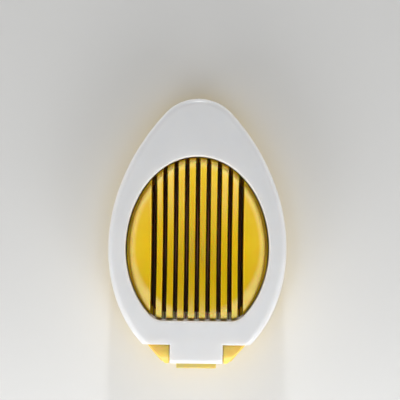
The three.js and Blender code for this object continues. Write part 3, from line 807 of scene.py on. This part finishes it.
def side_shell(inner_x, offset, height, bottom, rounding, side):
    """The part of the bowl outside the slots, from inner_x out to the outline."""
    top_count, most_rounding = 24, 0.3
    y0, y1 = (oval_end(CRADLE, inner_x + 2 * rounding, offset, end) for end in (-1, 1))
    sections = []
    for t in section_places():
        y = y0 + (y1 - y0) * t
        outer_x = oval_side(CRADLE, y, offset)
        section = across_section(
            inner_x, outer_x, lambda x, t: y, t, height,
            min(rounding, (outer_x - inner_x) * most_rounding), bottom, top_count,
        )
        sections.append([(side * x, y, z) for x, y, z in section])
    return loft("side", sections)


def collar():
    """The ring that joins the fins' ends, with its flange and its snap ridge. Its profile goes up
    the outside, as (offset from the window, height) pairs."""
    low, ridge_top = FIN_BOTTOM_Z, LEDGE_BOTTOM_Z - 0.3
    profile = [
        (-2.6, low), (-1.2, low), (-1.2, ridge_top - 1.4), (-0.5, ridge_top - 0.9),
        (-0.4, ridge_top - 0.2), (-0.5, ridge_top), (-1.2, ridge_top), (-1.2, SEAT_Z + 0.3),
        (0.5, SEAT_Z + 0.3), (0.7, SEAT_Z + 0.5), (0.7, DECK_Z - 0.2), (0.5, DECK_Z),
        (-2.6, DECK_Z),
    ]
    rings = [[(x, y, z) for x, y in whole(oval_right(WINDOW, offset))] for offset, z in profile]
    return loft("collar", rings, closed=True)


def make_cradle():
    pocket_low, pocket_rounding = -1, 0.6
    edges = [wire_x(0) + OUTER_SLOT_HALF_WIDTH]
    for index in range(1, WIRES - 1):
        edges += [wire_x(index) - SLOT_HALF_WIDTH, wire_x(index) + SLOT_HALF_WIDTH]
    edges.append(wire_x(WIRES - 1) - OUTER_SLOT_HALF_WIDTH)
    fins = [fin(x0, x1) for x0, x1 in zip(edges[::2], edges[1::2])]
    outer_edge = wire_x(WIRES - 1) + OUTER_SLOT_HALF_WIDTH
    shells, pockets = [], []
    pocket_height = lambda x, y: min(bowl_height(x, y), RIM_Z) - BOWL_SKIN
    for side in (-1, 1):
        shells.append(side_shell(outer_edge, 0, cradle_height, FIN_BOTTOM_Z, FIN_EDGE, side))
        pockets.append(side_shell(
            outer_edge + WALL, -WALL, pocket_height, pocket_low, pocket_rounding, side))
    piece = collar()
    ring = combine(step(), slot_cuts(), "DIFFERENCE")
    combine(piece, [*fins, *shells, ring], "UNION")
    combine(piece, pockets, "DIFFERENCE")
    piece.name = "slotted_cradle"
    finish_piece(piece, "base", CRADLE_YELLOW, ["egg_cradle"])


# ---- Base ----

def base_shell():
    """The skirt, the deck and the ledge for the cradle, in one ring of skin."""
    under = DECK_Z - 2
    small, fillet, bevel, flat = 0.5, 0.6, 0.2, 1.5
    oval_count = 120
    inner = BASE_INSET + WALL
    rings = []

    def outer(inset, z):
        rear = EAR_REAR_Y + inset - BASE_INSET
        rings.append([(x, y, z) for x, y in whole(egg_right(inset, NOTCH_Y, rear))])

    def window(offset, z):
        rings.append([(x, y, z) for x, y in whole(oval_right(WINDOW, offset, oval_count))])

    for inward, down in reversed(quarter(small, 4)):
        outer(BASE_INSET + inward, down)
    outer(BASE_INSET, DECK_Z / 2)
    for inward, down in quarter(small, 4):
        outer(BASE_INSET + inward, DECK_Z - down)
    outer(BASE_INSET + flat, DECK_Z)
    window(SEAT_OFFSET + 1, DECK_Z)
    window(SEAT_OFFSET + bevel, DECK_Z)
    window(SEAT_OFFSET, DECK_Z - bevel)
    window(SEAT_OFFSET, SEAT_Z)
    window(LEDGE_INNER + bevel, SEAT_Z)
    window(LEDGE_INNER, SEAT_Z - bevel)
    window(LEDGE_INNER, LEDGE_BOTTOM_Z + bevel)
    window(LEDGE_INNER + bevel, LEDGE_BOTTOM_Z)
    window(LEDGE_OUTER - bevel, LEDGE_BOTTOM_Z)
    window(LEDGE_OUTER, LEDGE_BOTTOM_Z + bevel)
    for inward, down in quarter(fillet, 4):
        window(LEDGE_OUTER + inward, under - down)
    for inward, down in reversed(quarter(fillet, 4)):
        outer(inner + inward, under - down)
    outer(inner, small)
    outer(inner - small, 0)
    return loft("base_shell", rings, closed=True)


def flank_corner_x(inset):
    """The x where the egg's ellipse ends and its straight flank begins."""
    return (HALF_WIDTH - inset) * math.cos(rear_turn(NOTCH_Y, REAR_SEMI_AXIS - inset))


def ear(side):
    """A hinge ear: round about the hinge in front and above, sloping behind, with its outer face
    along the base's flank."""
    rear_corner_radius, edge_radius = 1.2, 0.6
    corner_x = flank_corner_x(EAR_INSET)

    def ring(inset, from_side, outer_face):
        reach, rear = KNUCKLE_RADIUS - inset, EAR_REAR_Y + inset
        corner = rear_corner_radius - inset / 2
        slope_y, slope_z = beyond((HINGE_Y, HINGE_Z), reach, EAR_ROUND_TURN)
        fall = 1 / math.tan(math.pi - EAR_ROUND_TURN)
        points = [(rear, 0), (HINGE_Y + reach, 0)]
        points += arc((HINGE_Y, HINGE_Z), reach, 0, EAR_ROUND_TURN, 28)
        points.append((slope_y, slope_z))
        top_z = slope_z - (slope_y - rear) * fall
        tangent = corner * math.tan((math.pi / 2 - math.atan(fall)) / 2)
        centre = (rear + corner, top_z - tangent)
        points += arc(centre, corner, EAR_ROUND_TURN, math.pi, 6)
        points.append((rear, top_z - tangent))
        made = []
        for y, z in points:
            x = EAR_INNER_X + from_side
            if outer_face:
                x = corner_x - FLANK_SLOPE * (NOTCH_Y - y) - from_side
            made.append((side * x, y, z))
        return made

    edge = quarter(edge_radius, 5)
    rings = [ring(inset, depth, False) for inset, depth in reversed(edge)]
    rings += [ring(inset, depth, True) for inset, depth in edge]
    return loft("ear", rings)


def ear_core(side):
    """The hollow inside an ear, open below."""
    low, high = -1, HINGE_Z - 5
    inner_x, front_y = EAR_INNER_X + WALL, HINGE_Y + KNUCKLE_RADIUS - WALL
    corner_x = flank_corner_x(EAR_INSET + WALL)
    outer_x = corner_x - FLANK_SLOPE * (NOTCH_Y - front_y)
    back_y = NOTCH_Y - (corner_x - inner_x) / FLANK_SLOPE
    plan = [(inner_x, front_y), (outer_x, front_y), (inner_x, back_y)]
    return loft("core", [[(side * x, y, z) for x, y in plan] for z in (low, high)])


def nail_bevel():
    """The bevel under the frame's tip, for a fingernail."""
    edge_y = LID_HIGH.y - BASE_INSET - 2.2
    past, half_width = 3.2, 12
    triangle = [(edge_y - 1, DECK_Z + 1), (edge_y + past, DECK_Z - past),
                (edge_y + past, DECK_Z + 1)]
    return loft("bevel", [[(x, y, z) for y, z in triangle] for x in (-half_width, half_width)])


def make_base():
    lip_edge, clearance = 0.6, 0.1
    rib_low, rib_high, rib_half = 4, DECK_Z - 1, 0.8
    piece = base_shell()
    lip = block(
        "lip", (-LIP_HALF_WIDTH, BASE_LOW.y, LIP_LOW_Z),
        (LIP_HALF_WIDTH, EAR_REAR_Y + WALL, LIP_TOP_Z), lip_edge,
    )
    base_ribs = ribs((-1, 1), rib_low, rib_high, rib_half, LEDGE_OUTER - RIB_OVERLAP,
                     RIB_OVERLAP + BASE_INSET)
    combine(piece, [ear(-1), ear(1), lip, *base_ribs], "UNION")
    cuts = [ear_core(-1), ear_core(1), bore(PIN_RADIUS + clearance), nail_bevel()]
    combine(piece, cuts, "DIFFERENCE")
    piece.name = "base_shell"
    finish_piece(piece, "base", BASE_YELLOW, ["base_tray"])


# ---- Wires, keepers, screws and pin ----

def make_wires():
    """Wires with a crimped bead on each end. A bead's profile is (radius, distance from the
    wire's end) pairs."""
    for index in range(WIRES):
        node = f"wire_{index + 1}"
        low, high = box_mm(node)
        x, bead = wire_x(index), (high.z - low.z) / 2
        profile = []
        for place, inward in ((low.y, 1), (high.y, -1)):
            end = [
                (TINY_RADIUS, 0), (bead * 0.75, 0), (bead * 0.95, 0.12), (bead, 0.3), (bead, 0.75),
                (bead * 0.82, 0.9), (bead * 0.82, 1.15), (bead, 1.3), (bead, 1.7),
                (bead * 0.9, 1.9), (bead * 0.7, BEAD_LENGTH), (WIRE_RADIUS, BEAD_LENGTH),
            ]
            end = [(radius, place + inward * along) for radius, along in end]
            profile += end if inward > 0 else end[::-1]
        piece = turned(node + "_strung", profile, along_y(x, WIRE_Z), 20)
        finish_piece(piece, "lid", WIRE_STEEL_PAINTED_SHADE, [node])


def make_keeper(node, end):
    """The strip over the wires' ends, along the window, with a countersunk hole for each of its
    screws. end is 1 at the tip, -1 behind."""
    low, high = box_mm(node)
    inner, outer, half = 2.3, 8.8, high.x
    count, edge_radius = 64, 0.25
    head_radius, shank_radius, sink_depth = 2.3, 1.2, 1.2
    edge = quarter(edge_radius, 2)
    levels = [(inward, low.z + down) for inward, down in reversed(edge)]
    levels += [(inward, high.z - down) for inward, down in edge]
    rings = []
    for inset, z in levels:
        reach = half - inset
        places = [reach * (2 * i / count - 1) for i in range(count + 1)]
        ring = [(x, oval_end(WINDOW, x, inner + inset, end), z) for x in places]
        ring += [(x, oval_end(WINDOW, x, outer - inset, end), z) for x in reversed(places)]
        rings.append(ring)
    piece = loft(node + "_strip", rings)
    sinks = []
    for x, y in screw_places():
        if (y - WIDEST_Y) * end > 0:
            profile = [
                (head_radius, low.z - 1), (head_radius, low.z),
                (shank_radius, low.z + sink_depth), (shank_radius, high.z + 1),
            ]
            sinks.append(turned("sink", profile, upright(x, y), 32))
    combine(piece, sinks, "DIFFERENCE")
    piece.name = node + "_strip"
    finish_piece(piece, "lid", WHITE, [node])


def make_screws():
    """Countersunk screws with crossed slots, pointing up. The thread is a stack of ridges."""
    crest, root, ridges = 1.0, 0.78, 7
    thread_start, ends = 1.4, 2.4
    reach, slot, depth, slot_edge = 1.1, 0.24, 0.7, 0.1
    for number in range(1, 5):
        node = f"keeper_screw_{number}"
        low, high = box_mm(node)
        x, y = box_centre(node)
        head = (high.x - low.x) / 2
        profile = [
            (TINY_RADIUS, low.z), (head - 0.3, low.z), (head, low.z + 0.12), (crest, low.z + 1.1),
        ]
        pitch = (high.z - low.z - ends) / ridges
        for ridge in range(ridges):
            z = low.z + thread_start + ridge * pitch
            profile += [(root, z), (root, z + pitch * 0.35), (crest, z + pitch * 0.6)]
        profile += [(0.7, high.z - 0.9), (0.1, high.z)]
        piece = turned(node + "_threaded", profile, upright(x, y), 32)
        cross = [
            block("slot", (x - across, y - along, low.z - 1),
                  (x + across, y + along, low.z + depth), slot_edge)
            for across, along in ((reach, slot), (slot, reach))
        ]
        combine(piece, cross, "DIFFERENCE")
        piece.name = node + "_threaded"
        finish_piece(piece, "lid", STEEL, [node])


def make_pin():
    half, edge = PIN_HIGH.x, 0.3
    profile = [(TINY_RADIUS, -half), (PIN_RADIUS - edge, -half), (PIN_RADIUS, edge - half)]
    profile += [(radius, -along) for radius, along in reversed(profile)]
    piece = turned("hinge_pin_rod", profile, along_x(HINGE_Y, HINGE_Z))
    finish_piece(piece, "base", STEEL, ["hinge_pin"])


# ---- Floor, light and camera ----

def make_floor():
    half_size = 3
    mesh = bmesh.new()
    bmesh.ops.create_grid(mesh, x_segments=1, y_segments=1, size=half_size)
    floor = from_bmesh("floor", mesh)
    made, shader = material("pale floor")
    shader.inputs["Base Color"].default_value = (0.72, 0.72, 0.71, 1)
    shader.inputs["Roughness"].default_value = 0.7
    floor.data.materials.append(made)


def area_light(name, place, target, size, power):
    """A rectangular light, in metres and watts, turned to a target."""
    lamp = bpy.data.lights.new(name, "AREA")
    lamp.shape = "RECTANGLE"
    lamp.size, lamp.size_y = size
    lamp.energy = power
    thing = new_object(name, lamp)
    thing.location = place
    thing.rotation_euler = (Vector(target) - Vector(place)).to_track_quat("-Z", "Y").to_euler()


def make_lights():
    """Soft lights low on every side, keys at the hinge end, and two strips overhead, along the
    slots but beside them: none stands straight above the slots, so they stay dark. The back
    light, beyond the tip, is far off and narrow, and shines along the slots."""
    middle, strip_target = (0, 0, 0.025), (0, -0.1, 0.02)
    world_strength = 0.03
    for side in (-1, 1):
        area_light("key", (side * 0.36, -0.4, 0.4), middle, (0.3, 0.3), 0.97)
        area_light("strip", (side * 0.22, -0.1, 0.9), strip_target, (0.9, 0.12), 0.65)
        area_light("side", (side * 0.8, -0.05, 0.2), middle, (1.0, 0.2), 2.65)
    area_light("front", (0, -0.42, 0.2), middle, (0.7, 0.16), 1.7)
    area_light("back", (0, 1.6, 0.5), middle, (0.12, 0.3), 14)
    world = bpy.data.worlds.new("studio")
    world.use_nodes = True
    background = world.node_tree.nodes["Background"]
    background.inputs["Color"].default_value = (1, 1, 1, 1)
    background.inputs["Strength"].default_value = world_strength
    bpy.context.scene.world = world


def make_camera():
    """Straight above the slicer and off its middle, with a slight roll, as in the photo."""
    distance, roll = 0.70, math.radians(0.67)
    view_width = 0.201
    aside, past_widest = 1.06, 24.9
    target = Vector((aside, WIDEST_Y + past_widest, FRAME_TOP_Z)) * MM
    data = bpy.data.cameras.new("camera")
    data.lens = data.sensor_width * distance / view_width
    camera = new_object("camera", data)
    camera.location = target + Vector((0, 0, distance))
    camera.rotation_euler = (0, 0, roll)
    bpy.context.scene.camera = camera
    bpy.context.scene.view_settings.view_transform = "Standard"


make_frame()
make_cradle()
make_base()
make_wires()
make_keeper("rear_wire_keeper", -1)
make_keeper("tip_wire_keeper", 1)
make_screws()
make_pin()
make_floor()
make_lights()
make_camera()
